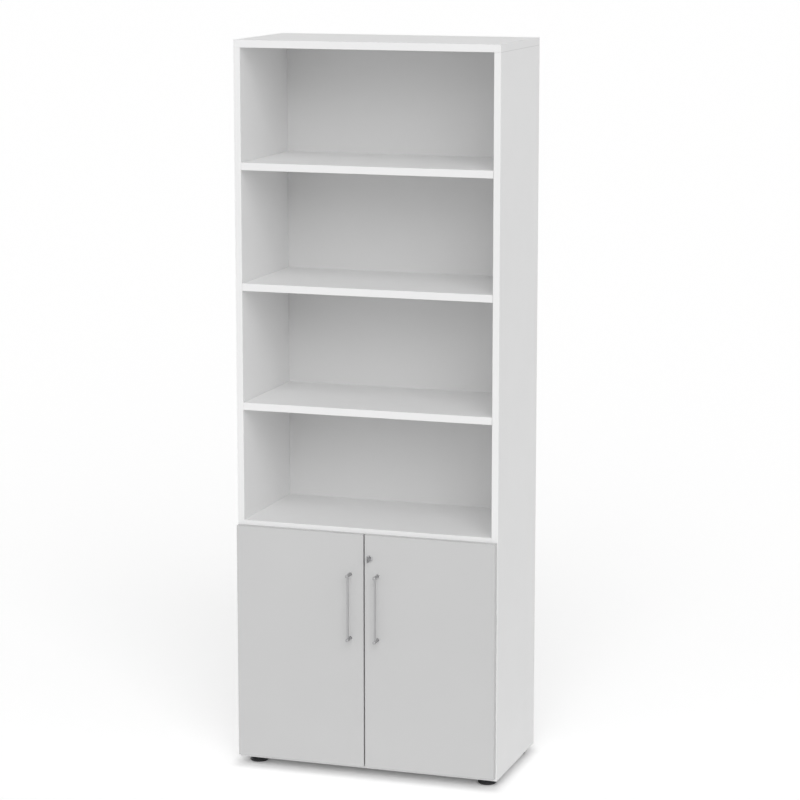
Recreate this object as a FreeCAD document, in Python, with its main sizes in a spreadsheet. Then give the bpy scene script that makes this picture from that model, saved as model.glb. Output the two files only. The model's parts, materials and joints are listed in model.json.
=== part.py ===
import FreeCAD, Part
import os
import re

import Sketcher

# A tall bookcase with a two-door cupboard below four open compartments.
# Millimetres, +Z up, front towards -Y. The origin lies on the floor, in the middle of the
# whole width and of the whole depth, handles included.

os.makedirs("parts", exist_ok=True)

DIMENSIONS = {
    # carcass
    "overall_width": 800.0,
    "carcass_depth": 400.0,
    "compartment_pitch": 352.0,
    "open_compartments": 4,
    "cupboard_compartments": 2,
    "board_thickness": 22.0,
    "side_thickness": 20.0,
    "edge_radius": 1.0,
    "back_thickness": 8.0,
    "back_setback": 9.0,
    "groove_depth": 8.0,
    "groove_play": 0.2,
    # dowels
    "dowel_diameter": 8.0,
    "dowel_length": 30.0,
    "dowel_in_face": 12.0,
    "dowel_inset": 70.0,
    "dowel_end_play": 0.5,
    "press_play": 0.05,
    # loose shelves
    "shelf_play": 0.5,
    "cupboard_shelf_setback": 32.0,
    "support_inset": 37.0,
    "support_peg_diameter": 5.0,
    "support_peg_length": 8.0,
    "support_reach": 10.0,
    "support_width": 9.0,
    "support_height": 7.0,
    "recess_height": 7.5,
    "recess_play": 0.5,
    # feet
    "foot_height": 22.0,
    "foot_diameter": 55.0,
    "foot_sole_diameter": 49.0,
    "foot_crown_diameter": 30.0,
    "foot_sole_height": 6.0,
    "foot_top_gap": 0.5,
    "foot_side_inset": 42.0,
    "foot_end_inset": 48.0,
    "spindle_diameter": 8.0,
    "spindle_engagement": 18.0,
    "spindle_seat": 12.0,
    "socket_wall": 2.0,
    # doors
    "door_thickness": 19.0,
    "door_gap": 1.5,
    "door_reveal": 3.0,
    "door_middle_gap": 4.0,
    "door_overlay_top": 8.3,
    "door_overlay_bottom": 12.0,
    "bumper_diameter": 7.0,
    "bumper_thickness": 1.2,
    "bumper_inset": 30.0,
    # handles
    "handle_inset": 40.0,
    "handle_drop": 120.0,
    "handle_centres": 192.0,
    "handle_projection": 36.0,
    "handle_bar_diameter": 5.6,
    "handle_bar_offset": 25.0,
    "handle_post_diameter": 9.0,
    "handle_base_diameter": 10.4,
    "handle_base_height": 2.0,
    "handle_edge": 1.0,
    "handle_screw_diameter": 4.0,
    "handle_screw_grip": 9.0,
    # concealed hinges: places are measured from the cup's centre and the door's back face
    "hinge_inset": 100.0,
    "cup_diameter": 35.0,
    "cup_edge": 5.0,
    "cup_depth": 13.8,
    "cup_wall": 1.2,
    "cup_floor": 0.6,
    "cup_play": 0.1,
    "flange_thickness": 1.0,
    "flange_lip": 2.0,
    "flange_width": 20.0,
    "flange_length": 62.0,
    "cup_screw_offset": 24.0,
    "arm_inner_pin_across": 9.8,
    "arm_inner_pin_behind": 5.0,
    "arm_outer_pin_across": 26.8,
    "arm_outer_pin_behind": 37.7,
    "cup_inner_pin_across": -8.1,
    "cup_inner_pin_behind": -5.9,
    "cup_outer_pin_across": -9.3,
    "cup_outer_pin_behind": -1.6,
    "ear_near_across": -4.5,
    "ear_far_across": -14.5,
    "ear_depth": 9.0,
    "ear_rise": 0.3,
    "notch_depth": 3.0,
    "mouth_across": 12.0,
    "mouth_depth": 1.5,
    "notch_side_play": 1.0,
    "inner_link_bow": 11.74,
    "outer_link_bow": 16.28,
    "link_thickness": 2.6,
    "link_eye_diameter": 5.2,
    "inner_link_width": 9.0,
    "link_plate_thickness": 1.5,
    "link_side_gap": 1.0,
    "link_gap": 1.5,
    "arm_pin_diameter": 2.5,
    "cup_pin_diameter": 2.0,
    "open_pivot_play": 0.65,
    "arm_nose_radius": 3.2,
    "arm_sheet": 1.5,
    "arm_seat_across": 0.5,
    "arm_rear_behind": 70.0,
    "arm_rear_rise": 8.0,
    "arm_root_behind": 26.0,
    "plate_thickness": 3.0,
    "plate_front": 22.0,
    "plate_length": 50.0,
    "plate_width": 15.0,
    "plate_wing_length": 12.0,
    "plate_wing_span": 48.0,
    "system_line": 37.0,
    "system_pitch": 32.0,
    "arm_screw_behind": 60.0,
    "side_screw_behind": 45.0,
    # wood and machine screws
    "screw_diameter": 3.0,
    "screw_depth": 10.0,
    "screw_clearance": 0.25,
    "screw_head_diameter": 6.0,
    "screw_head_height": 2.0,
    # cylinder lock with a turning rod
    "lock_backset": 15.0,
    "lock_drop": 70.0,
    "rosette_diameter": 20.0,
    "rosette_height": 4.0,
    "rosette_edge": 1.2,
    "barrel_diameter": 17.8,
    "barrel_play": 0.1,
    "barrel_in_case": 3.0,
    "plug_diameter": 12.0,
    "plug_recess": 0.4,
    "running_play": 0.05,
    "plug_in_case": 8.0,
    "keyway_width": 2.6,
    "keyway_height": 8.6,
    "keyway_depth": 21.0,
    "key_thickness": 2.0,
    "key_blade_height": 7.4,
    "key_blade_length": 20.0,
    "key_shoulder": 4.0,
    "key_bow_height": 18.0,
    "key_bow_length": 14.0,
    "key_corner": 4.0,
    "key_ring_diameter": 5.0,
    "key_face_gap": 0.3,
    "key_cut_pitch": 4.0,
    "key_cut_depth": 1.4,
    "case_width": 28.0,
    "case_height": 40.0,
    "case_depth": 20.0,
    "case_ear": 8.0,
    "case_ear_width": 14.0,
    "case_edge": 1.5,
    "rod_diameter": 6.0,
    "rod_standoff": 14.0,
    "rod_end_gap": 4.0,
    "rod_play": 0.1,
    "hook_hub_wall": 2.0,
    "hook_inner_radius": 14.5,
    "hook_band": 3.0,
    "hook_height": 5.0,
    "hook_arm_width": 5.0,
    "hook_arm_angle": 38.0,
    "hook_lead": 9.0,
    "hook_sweep": 60.0,
    "strike_pin_diameter": 5.0,
    "strike_pin_reach": 9.5,
    "strike_pin_length": 14.0,
    "strike_peg_length": 8.0,
    "strike_flange_diameter": 16.0,
    "strike_flange_thickness": 1.5,
    "guide_width": 12.0,
    "guide_height": 8.0,
    "guide_wall": 2.5,
    "guide_ear": 8.0,
    "guide_ear_thickness": 2.0,
    "guide_end_distance": 60.0,
    "guide_top_distance": 18.0,
    # slide bolt of the left door
    "bolt_inset": 22.0,
    "bolt_diameter": 6.0,
    "bolt_length": 60.0,
    "bolt_standoff": 7.0,
    "bolt_travel": 12.0,
    "bolt_end_gap": 4.0,
    "bolt_stud_diameter": 5.0,
    "bolt_stud_reach": 8.0,
    "bolt_case_width": 14.0,
    "bolt_case_length": 40.0,
    "bolt_case_depth": 11.6,
    "bolt_case_ear": 8.0,
    "bolt_case_sheet": 2.0,
    "bolt_hole_play": 0.5,
}

# Places and sizes that follow from the dimensions.
LAYOUT = {
    "half_width": "overall_width / 2",
    "carcass_height": "(open_compartments + cupboard_compartments) * compartment_pitch"
                      " + board_thickness",
    "overall_height": "foot_height + carcass_height",
    "overall_depth": "carcass_depth + door_gap + door_thickness + handle_projection",
    "carcass_front": "handle_projection + door_thickness + door_gap - overall_depth / 2",
    "carcass_rear": "carcass_front + carcass_depth",
    "side_height": "carcass_height - board_thickness",
    "inner_width": "overall_width - 2 * side_thickness",
    "inner_half": "half_width - side_thickness",
    "shelf_depth": "carcass_depth - back_setback - back_thickness",
    "fixed_shelf_top": "overall_height - open_compartments * compartment_pitch",
    "fixed_shelf_bottom": "fixed_shelf_top - board_thickness",
    "bottom_board_top": "foot_height + board_thickness",
    "dowel_radius": "dowel_diameter / 2",
    "dowel_hole_radius": "dowel_radius + press_play",
    "dowel_in_end": "dowel_length - dowel_in_face",
    "door_bottom": "bottom_board_top - door_overlay_bottom",
    "door_top": "fixed_shelf_bottom + door_overlay_top",
    "door_height": "door_top - door_bottom",
    "door_width": "(overall_width - 2 * door_reveal - door_middle_gap) / 2",
    "door_front": "carcass_front - door_gap - door_thickness",
    "door_back": "carcass_front - door_gap",
    "hinge_low": "door_bottom + hinge_inset",
    "hinge_high": "door_top - hinge_inset",
    "cup_radius": "cup_diameter / 2",
    "cup_from_edge": "cup_edge + cup_radius",
    "cup_x": "door_reveal + cup_from_edge - half_width",
    "arm_inner_x": "cup_x + arm_inner_pin_across",
    "arm_inner_y": "door_back + arm_inner_pin_behind",
    "arm_outer_x": "cup_x + arm_outer_pin_across",
    "arm_outer_y": "door_back + arm_outer_pin_behind",
    "cup_inner_x": "cup_x + cup_inner_pin_across",
    "cup_inner_y": "door_back + cup_inner_pin_behind",
    "cup_outer_x": "cup_x + cup_outer_pin_across",
    "cup_outer_y": "door_back + cup_outer_pin_behind",
    "arm_seat_x": "cup_x + arm_seat_across",
    "plate_x": "side_thickness - half_width",
    "link_plate_inner": "inner_link_width / 2 + link_gap",
    "link_plate_outer": "link_plate_inner + link_plate_thickness",
    "cheek_inner": "link_plate_outer + link_side_gap",
    "cheek_outer": "cheek_inner + arm_sheet",
    "handle_x": "door_middle_gap / 2 + handle_inset",
    "handle_top": "door_top - handle_drop",
    "handle_bottom": "handle_top - handle_centres",
    "lock_x": "door_middle_gap / 2 + lock_backset",
    "lock_z": "door_top - lock_drop",
    "rosette_front": "door_front - rosette_height",
    "plug_front": "rosette_front + plug_recess",
    "rod_y": "door_back + rod_standoff",
    "rod_top": "fixed_shelf_bottom - rod_end_gap",
    "rod_bottom": "bottom_board_top + rod_end_gap",
    "strike_y": "rod_y + strike_pin_reach",
    "bolt_x": "-(door_middle_gap / 2 + bolt_inset)",
    "bolt_y": "door_back + bolt_standoff",
    "bolt_top": "fixed_shelf_bottom - bolt_end_gap",
    "bolt_case_z": "bolt_top - bolt_length / 2 + bolt_travel / 2",
    "screw_radius": "screw_diameter / 2",
    "screw_hole_radius": "screw_radius + press_play",
}

GUIDE_LEVELS = ("rod_bottom + guide_end_distance", "lock_z - 2 * guide_end_distance",
                "rod_top - guide_top_distance")
SIDES = {"left": -1, "right": 1}
SIGNS = ("1", "-1")
ENDS = {"front": 1, "rear": -1}
Z_AXIS = FreeCAD.Vector(0, 0, 1)
Y_AXIS = FreeCAD.Vector(0, 1, 0)
X_AXIS = FreeCAD.Vector(1, 0, 0)
WORD = re.compile(r"[a-z][a-z_]*")

doc = FreeCAD.newDocument("bookcase")
sheet = doc.addObject("Spreadsheet::Sheet", "Dims")
for row, (alias, value) in enumerate(DIMENSIONS.items(), start=1):
    sheet.set(f"A{row}", alias)
    sheet.set(f"B{row}", str(value))
    sheet.setAlias(f"B{row}", alias)
doc.recompute()

sub_parts = []


# ---------------------------------------------------------------- formulas and objects

def expand(formula):
    """The formula with each word replaced by its sheet cell or by its layout formula."""
    def cell(match):
        word = match.group(0)
        if word in LAYOUT:
            return f"({expand(LAYOUT[word])})"
        return f"Dims.{word}" if word in DIMENSIONS else word
    return WORD.sub(cell, str(formula))


def number(formula):
    return float(sheet.evalExpression(expand(formula)))


def point(x, y, z=0):
    return FreeCAD.Vector(number(x), number(y), number(z))


def bind(thing, prop, formula):
    thing.setExpression(prop, expand(formula))


def place(thing, x, y, z):
    for axis, formula in zip("xyz", (x, y, z)):
        bind(thing, f"Placement.Base.{axis}", formula)


def register(thing, label):
    thing.Label = label
    sub_parts.append(thing)
    return thing


def new_body(label, x, y, z):
    body = register(doc.addObject("PartDesign::Body", label), label)
    place(body, x, y, z)
    return body


def group(label, shapes):
    """Separate solids of one kind that share a sub-part."""
    register(doc.addObject("Part::Feature", label), label).Shape = Part.makeCompound(shapes)


# ---------------------------------------------------------------- sketches and features

def sketch_on(body, role, offset=0):
    plane = next(f for f in body.Origin.OriginFeatures if f.Role == role)
    sketch = body.newObject("Sketcher::SketchObject", f"{body.Label}_sketch")
    sketch.AttachmentSupport = [(plane, "")]
    sketch.MapMode = "FlatFace"
    bind(sketch, "AttachmentOffset.Base.z", offset)
    return sketch


def dimension(sketch, constraint, formula):
    index = sketch.addConstraint(constraint)
    name = f"size_{index}"
    sketch.renameConstraint(index, name)
    bind(sketch, f"Constraints.{name}", formula)


def pin_point(sketch, geometry, corner, x, y):
    for kind, formula in (("DistanceX", x), ("DistanceY", y)):
        rule = Sketcher.Constraint(kind, -1, 1, geometry, corner, number(formula))
        dimension(sketch, rule, formula)


def outline(sketch, corners):
    """A closed outline of straight lines through corners given as formulas."""
    count = len(corners)
    ends = [point(x, y) for x, y in corners]
    lines = [sketch.addGeometry(Part.LineSegment(ends[i], ends[(i + 1) % count]), False)
             for i in range(count)]
    for i, line in enumerate(lines):
        sketch.addConstraint(Sketcher.Constraint("Coincident", line, 2, lines[(i + 1) % count], 1))
    for line, (x, y) in zip(lines, corners):
        pin_point(sketch, line, 1, x, y)


def rectangle(sketch, left, bottom, right, top):
    outline(sketch, [(left, bottom), (right, bottom), (right, top), (left, top)])


def circle(sketch, x, y, radius):
    ring = sketch.addGeometry(Part.Circle(point(x, y), Z_AXIS, number(radius)), False)
    pin_point(sketch, ring, 3, x, y)
    dimension(sketch, Sketcher.Constraint("Radius", ring, number(radius)), radius)


def pad(body, sketch, length, reverse=False):
    feature = body.newObject("PartDesign::Pad", f"{body.Label}_pad")
    feature.Profile = sketch
    feature.Reversed = reverse
    bind(feature, "Length", length)
    doc.recompute()


def pocket(body, sketch, length, along_normal):
    """Cuts the sketch into the body, along the sketch's normal or against it."""
    before = body.Tip.Shape.Volume
    feature = body.newObject("PartDesign::Pocket", f"{body.Label}_pocket")
    feature.Profile = sketch
    feature.Reversed = along_normal
    bind(feature, "Length", length)
    doc.recompute()
    if not feature.Shape.Volume < before:
        raise RuntimeError(f"a pocket of {body.Label} cuts nothing")


def holes(body, role, offset, centres, radius, depth, along_normal):
    sketch = sketch_on(body, role, offset)
    for x, y in centres:
        circle(sketch, x, y, radius)
    pocket(body, sketch, depth, along_normal)


def turned(body, sketch, axis="V_Axis"):
    feature = body.newObject("PartDesign::Revolution", f"{body.Label}_turned")
    feature.Profile = sketch
    feature.ReferenceAxis = (sketch, [axis])
    feature.Angle = 360
    doc.recompute()


def round_edges(body, wanted, radius="edge_radius"):
    base = body.Tip
    names = [f"Edge{i}" for i, edge in enumerate(base.Shape.Edges, start=1)
             if wanted(edge.BoundBox)]
    feature = body.newObject("PartDesign::Fillet", f"{body.Label}_round")
    feature.Base = (base, names)
    bind(feature, "Radius", radius)
    doc.recompute()


def front_edges(*axes):
    """Picks the long edges in the front face, which lies in the plane y = 0."""
    long = 4 * number("board_thickness")

    def wanted(box):
        length = max({"x": box.XLength, "z": box.ZLength}[axis] for axis in axes)
        return box.YMax < 0.01 and length > long
    return wanted


# ---------------------------------------------------------------- carcass

DOWEL_PLACES = ("dowel_inset", "shelf_depth / 2", "shelf_depth - dowel_inset")
SUPPORT_PLACES = ("support_inset", "shelf_depth - support_inset")
LOOSE_SHELVES = {
    "shelf_upper": ("overall_height - compartment_pitch", "0", "support_inset"),
    "shelf_middle": ("overall_height - 2 * compartment_pitch", "0", "support_inset"),
    "shelf_lower": ("overall_height - 3 * compartment_pitch", "0", "support_inset"),
    "cupboard_shelf": ("fixed_shelf_top - compartment_pitch", "cupboard_shelf_setback",
                       "cupboard_shelf_setback + support_inset"),
}
PEG_DROP = "board_thickness - recess_height + support_height / 2"


def side_panel(side):
    """A side, seen from its outer lower front corner on the left or its inner one on the right."""
    left = side == "left"
    x = "-half_width" if left else "inner_half"
    inner = "side_thickness" if left else "0"
    inwards = "1" if left else "-1"
    body = new_body(f"side_panel_{side}", x, "carcass_front", "foot_height")
    sketch = sketch_on(body, "XY_Plane")
    rectangle(sketch, "0", "0", "side_thickness", "carcass_depth")
    pad(body, sketch, "side_height")
    sketch = sketch_on(body, "XY_Plane")
    groove_front = "shelf_depth - groove_play"
    groove_rear = "shelf_depth + back_thickness + groove_play"
    deep = f"{inner} - ({inwards}) * groove_depth"
    edges = (deep, inner) if left else (inner, deep)
    rectangle(sketch, edges[0], groove_front, edges[1], groove_rear)
    pocket(body, sketch, "side_height", True)
    board_levels = ("board_thickness / 2", "fixed_shelf_bottom + board_thickness / 2 - foot_height")
    centres = [(y, z) for z in board_levels for y in DOWEL_PLACES]
    depth = "dowel_in_face + dowel_end_play"
    holes(body, "YZ_Plane", inner, centres, "dowel_hole_radius", depth, not left)
    centres = [("side_thickness / 2", y) for y in DOWEL_PLACES]
    depth = "dowel_in_end + dowel_end_play"
    holes(body, "XY_Plane", "side_height", centres, "dowel_hole_radius", depth, False)
    pegs = [(y, f"{top} - ({PEG_DROP}) - foot_height")
            for top, setback, first in LOOSE_SHELVES.values()
            for y in (first, "shelf_depth - support_inset")]
    radius = "support_peg_diameter / 2 + press_play"
    holes(body, "YZ_Plane", inner, pegs, radius, "support_peg_length + dowel_end_play", not left)
    screws = [("system_line", f"{level} + {sign} * system_pitch / 2 - foot_height")
              for level in ("hinge_low", "hinge_high") for sign in SIGNS]
    depth = "screw_depth + dowel_end_play"
    holes(body, "YZ_Plane", inner, screws, "screw_hole_radius", depth, not left)
    round_edges(body, front_edges("z"))


def cross_board(label, z):
    """A board glued between the sides, which stops at the back panel."""
    body = new_body(label, "-inner_half", "carcass_front", z)
    sketch = sketch_on(body, "XY_Plane")
    rectangle(sketch, "0", "0", "inner_width", "shelf_depth")
    pad(body, sketch, "board_thickness")
    centres = [(y, "board_thickness / 2") for y in DOWEL_PLACES]
    depth = "dowel_in_end + dowel_end_play"
    holes(body, "YZ_Plane", "0", centres, "dowel_hole_radius", depth, True)
    holes(body, "YZ_Plane", "inner_width", centres, "dowel_hole_radius", depth, False)
    return body


def top_board():
    body = new_body("top_board", "-half_width", "carcass_front", "foot_height + side_height")
    sketch = sketch_on(body, "XY_Plane")
    rectangle(sketch, "0", "0", "overall_width", "carcass_depth")
    pad(body, sketch, "board_thickness")
    sketch = sketch_on(body, "XY_Plane")
    rectangle(sketch, "side_thickness - groove_depth", "shelf_depth - groove_play",
              "overall_width - side_thickness + groove_depth",
              "shelf_depth + back_thickness + groove_play")
    pocket(body, sketch, "groove_depth", True)
    centres = [(x, y) for y in DOWEL_PLACES
               for x in ("side_thickness / 2", "overall_width - side_thickness / 2")]
    depth = "dowel_in_face + dowel_end_play"
    holes(body, "XY_Plane", "0", centres, "dowel_hole_radius", depth, True)
    round_edges(body, front_edges("x"))


def strike_hole(body, offset, upwards):
    centre = [("inner_half + lock_x", "strike_y - carcass_front")]
    radius = "strike_pin_diameter / 2 + press_play"
    depth = "strike_peg_length + dowel_end_play"
    holes(body, "XY_Plane", offset, centre, radius, depth, upwards)


def bottom_board():
    body = cross_board("bottom_board", "foot_height")
    strike_hole(body, "board_thickness", False)
    near = "foot_side_inset - side_thickness"
    centres = [(x, y) for x in (near, f"inner_width - ({near})")
               for y in ("foot_end_inset", "carcass_depth - foot_end_inset")]
    radius = "spindle_diameter / 2 + running_play + socket_wall + press_play"
    holes(body, "XY_Plane", "0", centres, radius, "board_thickness", True)
    round_edges(body, front_edges("x"))


def fixed_shelf():
    body = cross_board("fixed_shelf", "fixed_shelf_bottom")
    centre = [("inner_half + bolt_x", "bolt_standoff - door_gap")]
    radius = "bolt_diameter / 2 + bolt_hole_play"
    holes(body, "XY_Plane", "0", centre, radius, "bolt_travel", True)
    strike_hole(body, "0", True)
    round_edges(body, front_edges("x"))


def loose_shelf(label, top, setback):
    """A shelf with four recesses in its underside, open at its ends, for its supports."""
    width = "inner_width - 2 * shelf_play"
    body = new_body(label, "shelf_play - inner_half", f"carcass_front + {setback}",
                    f"{top} - board_thickness")
    sketch = sketch_on(body, "XY_Plane")
    rectangle(sketch, "0", "0", width, f"shelf_depth - ({setback})")
    pad(body, sketch, "board_thickness")
    reach = "support_reach + recess_play"
    half = "support_width / 2 + recess_play"
    for near, far in (("0", reach), (f"{width} - ({reach})", width)):
        for middle in ("support_inset", f"shelf_depth - ({setback}) - support_inset"):
            sketch = sketch_on(body, "XY_Plane")
            rectangle(sketch, near, f"{middle} - ({half})", far, f"{middle} + {half}")
            pocket(body, sketch, "recess_height", True)
    round_edges(body, front_edges("x"))


def back_panel():
    """Slides in grooves of the sides and of the top board, behind the cross boards."""
    panel = register(doc.addObject("Part::Box", "back_panel"), "back_panel")
    bind(panel, "Length", "inner_width + 2 * (groove_depth - groove_play)")
    bind(panel, "Width", "back_thickness")
    bind(panel, "Height", "side_height + groove_depth - groove_play")
    place(panel, "groove_play - groove_depth - inner_half", "carcass_front + shelf_depth",
          "foot_height")


def carcass_dowels():
    radius = number("dowel_radius")
    length = number("dowel_length")
    dowels = []
    for sign in SIDES.values():
        for place_y in DOWEL_PLACES:
            y = f"carcass_front + {place_y}"
            base = point(f"{sign} * (half_width - side_thickness / 2)", y,
                         "foot_height + side_height - dowel_in_end")
            dowels.append(Part.makeCylinder(radius, length, base, Z_AXIS))
            for bottom in ("foot_height", "fixed_shelf_bottom"):
                outer = point(f"{sign} * (inner_half + dowel_in_face)", y,
                              f"{bottom} + board_thickness / 2")
                dowels.append(Part.makeCylinder(radius, length, outer, X_AXIS * -sign))
    group("carcass_dowels", dowels)


def shelf_supports():
    """Pegs in the sides with a flat block that carries the ceiling of a shelf's recess."""
    supports = []
    height = number("support_height")
    width = number("support_width")
    reach = number("support_reach")
    for sign in SIDES.values():
        for top, setback, first in LOOSE_SHELVES.values():
            for place_y in (first, "shelf_depth - support_inset"):
                axis = point(f"{sign} * inner_half", f"carcass_front + {place_y}",
                             f"{top} - ({PEG_DROP})")
                peg = Part.makeCylinder(number("support_peg_diameter / 2"),
                                        number("support_peg_length"), axis, X_AXIS * sign)
                low = axis - FreeCAD.Vector(reach if sign > 0 else 0, width / 2, height / 2)
                supports.append(peg.fuse(Part.makeBox(reach, width, height, low)))
    group("shelf_supports", supports)


# ---------------------------------------------------------------- levelling feet

def foot_place(side_sign, end):
    x = f"{side_sign} * (half_width - foot_side_inset)"
    if end == "front":
        return x, "carcass_front + foot_end_inset"
    return x, "carcass_rear - foot_end_inset"


def levelling_foot(side, end):
    """A turned glide with a moulded crown, and the threaded spindle pressed into it."""
    x, y = foot_place(SIDES[side], end)
    glide = new_body(f"foot_{end}_{side}", x, y, "0")
    sketch = sketch_on(glide, "XZ_Plane")
    bore = "spindle_diameter / 2 + press_play"
    top = "foot_height - foot_top_gap"
    outline(sketch, [
        ("0", "0"), ("foot_sole_diameter / 2", "0"),
        ("foot_diameter / 2", "foot_sole_height / 2"), ("foot_diameter / 2", "foot_sole_height"),
        ("foot_crown_diameter / 2", f"{top} - foot_sole_height / 2"),
        ("foot_crown_diameter / 2", top), (bore, top), (bore, f"{top} - spindle_seat"),
        ("0", f"{top} - spindle_seat")])
    turned(glide, sketch)
    spindle = register(doc.addObject("Part::Cylinder", f"foot_spindle_{end}_{side}"),
                       f"foot_spindle_{end}_{side}")
    bind(spindle, "Radius", "spindle_diameter / 2")
    bind(spindle, "Height", "spindle_seat + foot_top_gap + spindle_engagement")
    place(spindle, x, y, f"{top} - spindle_seat")


def foot_sockets():
    inner = number("spindle_diameter / 2 + running_play")
    outer = inner + number("socket_wall")
    height = number("board_thickness")
    sockets = []
    for sign in SIDES.values():
        for end in ENDS:
            x, y = foot_place(sign, end)
            base = point(x, y, "foot_height")
            sleeve = Part.makeCylinder(outer, height, base)
            sockets.append(sleeve.cut(Part.makeCylinder(inner, height, base)))
    group("foot_sockets", sockets)


# ---------------------------------------------------------------- turned pieces and screws

def lathe(origin, direction, profile):
    """A solid of revolution from corners given as (radius, distance along the axis)."""
    side = Z_AXIS if abs(direction.z) < 0.5 else X_AXIS
    corners = [origin + side * radius + direction * along for radius, along in profile]
    face = Part.Face(Part.makePolygon(corners + corners[:1]))
    return face.revolve(origin, direction, 360)


def screw(seat, direction, shank):
    """A pan-head screw whose head lies on its seat and whose shank runs along direction."""
    radius = number("screw_radius")
    head = number("screw_head_diameter / 2")
    height = number("screw_head_height")
    return lathe(seat, direction, [(0, -height), (head / 2, -height), (head, -height / 2),
                                   (head, 0), (radius, 0), (radius, shank - radius),
                                   (radius / 3, shank), (0, shank)])


# ---------------------------------------------------------------- doors and handles

def lock_screw_places():
    """Screws of the lock case and of the rod guides: offset from the lock's axis, height."""
    ear = "case_height / 2 + case_ear / 2"
    side = "guide_width / 2 + guide_ear / 2"
    return ([("0", f"lock_z + {ear}"), ("0", f"lock_z - ({ear})")]
            + [(f"{sign} * ({side})", z) for z in GUIDE_LEVELS for sign in SIGNS])


def bolt_screw_places():
    """Screws of the slide bolt's case: offset from the bolt's axis, height."""
    side = "bolt_case_width / 2 + bolt_case_ear / 2"
    return [(f"{sign} * ({side})", f"bolt_case_z + {end} * bolt_case_length / 3")
            for sign in SIGNS for end in SIGNS]


def door(side):
    """A door, seen from its lower left front corner, with its hinge cups and screw holes."""
    left = side == "left"
    x = "door_reveal - half_width" if left else "door_middle_gap / 2"

    def from_meeting_edge(distance):
        return f"door_width - ({distance})" if left else distance

    def from_hinge_edge(distance):
        return distance if left else f"door_width - ({distance})"

    body = new_body(f"door_{side}", x, "door_front", "door_bottom")
    sketch = sketch_on(body, "XY_Plane")
    rectangle(sketch, "0", "0", "door_width", "door_thickness")
    pad(body, sketch, "door_height")
    back = "-door_thickness"
    cup = from_hinge_edge("cup_from_edge")
    levels = ("hinge_inset", "door_height - hinge_inset")
    cups = [(cup, z) for z in levels]
    holes(body, "XZ_Plane", back, cups, "cup_radius + cup_play", "cup_depth + cup_play", True)
    screws = [(cup, f"{z} + {sign} * cup_screw_offset") for z in levels for sign in SIGNS]
    inset, places = (("bolt_inset", bolt_screw_places()) if left
                     else ("lock_backset", lock_screw_places()))
    screws += [(f"{from_meeting_edge(inset)} + {shift}", f"{z} - door_bottom")
               for shift, z in places]
    depth = "screw_depth + dowel_end_play"
    holes(body, "XZ_Plane", back, screws, "screw_hole_radius", depth, True)
    posts = [(from_meeting_edge("handle_inset"), z) for z in (
        "door_height - handle_drop", "door_height - handle_drop - handle_centres")]
    radius = "handle_screw_diameter / 2 + screw_clearance"
    holes(body, "XZ_Plane", "0", posts, radius, "door_thickness", False)
    if not left:
        lock = [("lock_backset", "door_height - lock_drop")]
        radius = "barrel_diameter / 2 + barrel_play"
        holes(body, "XZ_Plane", "0", lock, radius, "door_thickness", False)
    round_edges(body, front_edges("x", "z"))


def handle_places(sign):
    return [point(f"{sign} * handle_x", "door_front", z) for z in ("handle_top", "handle_bottom")]


def handle(side):
    """A slim bar between two turned posts, each held by a screw through the door."""
    sign = SIDES[side]
    bar = register(doc.addObject("Part::Cylinder", f"handle_bar_{side}"), f"handle_bar_{side}")
    bind(bar, "Radius", "handle_bar_diameter / 2")
    bind(bar, "Height", "handle_centres")
    place(bar, f"{sign} * handle_x", "door_front - handle_bar_offset", "handle_bottom")
    posts, screws = [], []
    for foot, inwards in zip(handle_places(sign), (-1, 1)):
        posts.append(handle_post(foot, inwards))
        head = foot + FreeCAD.Vector(0, number("door_thickness"), 0)
        shank = number("door_thickness + handle_screw_grip")
        radius = number("handle_screw_diameter / 2")
        shaft = Part.makeCylinder(radius, shank, head, -Y_AXIS)
        cap = Part.makeCylinder(2 * radius, number("screw_head_height"), head, Y_AXIS)
        screws.append(shaft.fuse(cap))
    group(f"handle_posts_{side}", posts)
    group(f"handle_screws_{side}", screws)


def handle_post(foot, inwards):
    """A post turned about the Y axis, with a collar and a socket for the bar's end."""
    collar = number("handle_base_diameter / 2")
    stem = number("handle_post_diameter / 2")
    reach = number("handle_projection")
    edge = number("handle_edge")
    shoulder = number("handle_base_height")
    post = lathe(foot, -Y_AXIS, [
        (0, 0), (collar, 0), (collar, shoulder / 2), (collar - edge / 2, shoulder),
        (stem, shoulder), (stem, reach - edge), (stem - edge, reach), (0, reach)])
    bar = foot - Y_AXIS * number("handle_bar_offset")
    socket = Part.makeCylinder(number("handle_bar_diameter / 2 + press_play"), 2 * stem, bar,
                               Z_AXIS * inwards)
    thread = Part.makeCylinder(number("handle_screw_diameter / 2 + press_play"),
                               number("handle_screw_grip + dowel_end_play"), foot, -Y_AXIS)
    return post.cut(socket).cut(thread)


def door_bumpers(side):
    sign = SIDES[side]
    x = f"{sign} * (door_middle_gap / 2 + bumper_inset)"
    levels = ("fixed_shelf_bottom + door_overlay_top / 2", "door_bottom + door_overlay_bottom / 2")
    group(f"door_bumpers_{side}",
          [Part.makeCylinder(number("bumper_diameter / 2"), number("bumper_thickness"),
                             point(x, "door_back", z), Y_AXIS) for z in levels])


# ---------------------------------------------------------------- concealed hinges

def across(shape, sign):
    """The shape, or its mirror image for the right door."""
    return shape if sign < 0 else shape.mirror(FreeCAD.Vector(), X_AXIS)


def hinge_group(label, signs, build):
    """A hinge piece, built at height 0 for the left door and copied to each hinge."""
    copies = []
    for sign in signs:
        for level in ("hinge_low", "hinge_high"):
            for solid in build():
                solid.translate(point("0", "0", level))
                copies.append(across(solid, sign))
    group(label, copies)


def both_ways(shape):
    """The shape above the hinge's middle plane and its mirror image below."""
    return [shape, shape.mirror(FreeCAD.Vector(), Z_AXIS)]


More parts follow.
